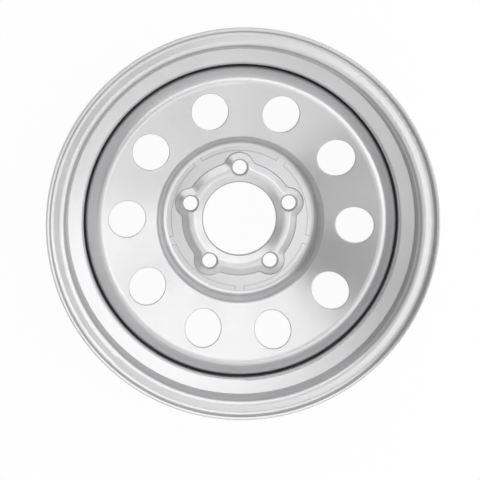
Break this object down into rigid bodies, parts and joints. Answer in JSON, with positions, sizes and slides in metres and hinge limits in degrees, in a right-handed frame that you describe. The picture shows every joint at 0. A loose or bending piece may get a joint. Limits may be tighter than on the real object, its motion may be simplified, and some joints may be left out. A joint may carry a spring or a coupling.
{
  "type": "wheel rim",
  "caption": "Silver painted pressed steel road wheel: a drop-centre rim welded to a dished disc with round vents, a lobed boss, a pilot bore and tapered stud holes.",
  "frame": {"origin": "on the wheel's axis, in the plane under the inboard lip that the wheel lies on", "axes": "+Z along the wheel's axis, out of its outboard face; +Y through the first stud hole"},
  "size_m": [0.4147, 0.4148, 0.1784],
  "materials": {
    "rim_paint": "silver paint, satin gloss",
    "disc_paint": "silver paint, satin gloss",
    "weld_paint": "silver paint over weld bead"
  },
  "bodies": {
    "root": {"rim": "rim_paint", "disc": "disc_paint", "weld_bead_1": "weld_paint", "weld_bead_2": "weld_paint", "weld_bead_3": "weld_paint", "weld_bead_4": "weld_paint", "weld_bead_5": "weld_paint", "weld_bead_6": "weld_paint", "weld_bead_7": "weld_paint", "weld_bead_8": "weld_paint"}
  },
  "joints": []
}
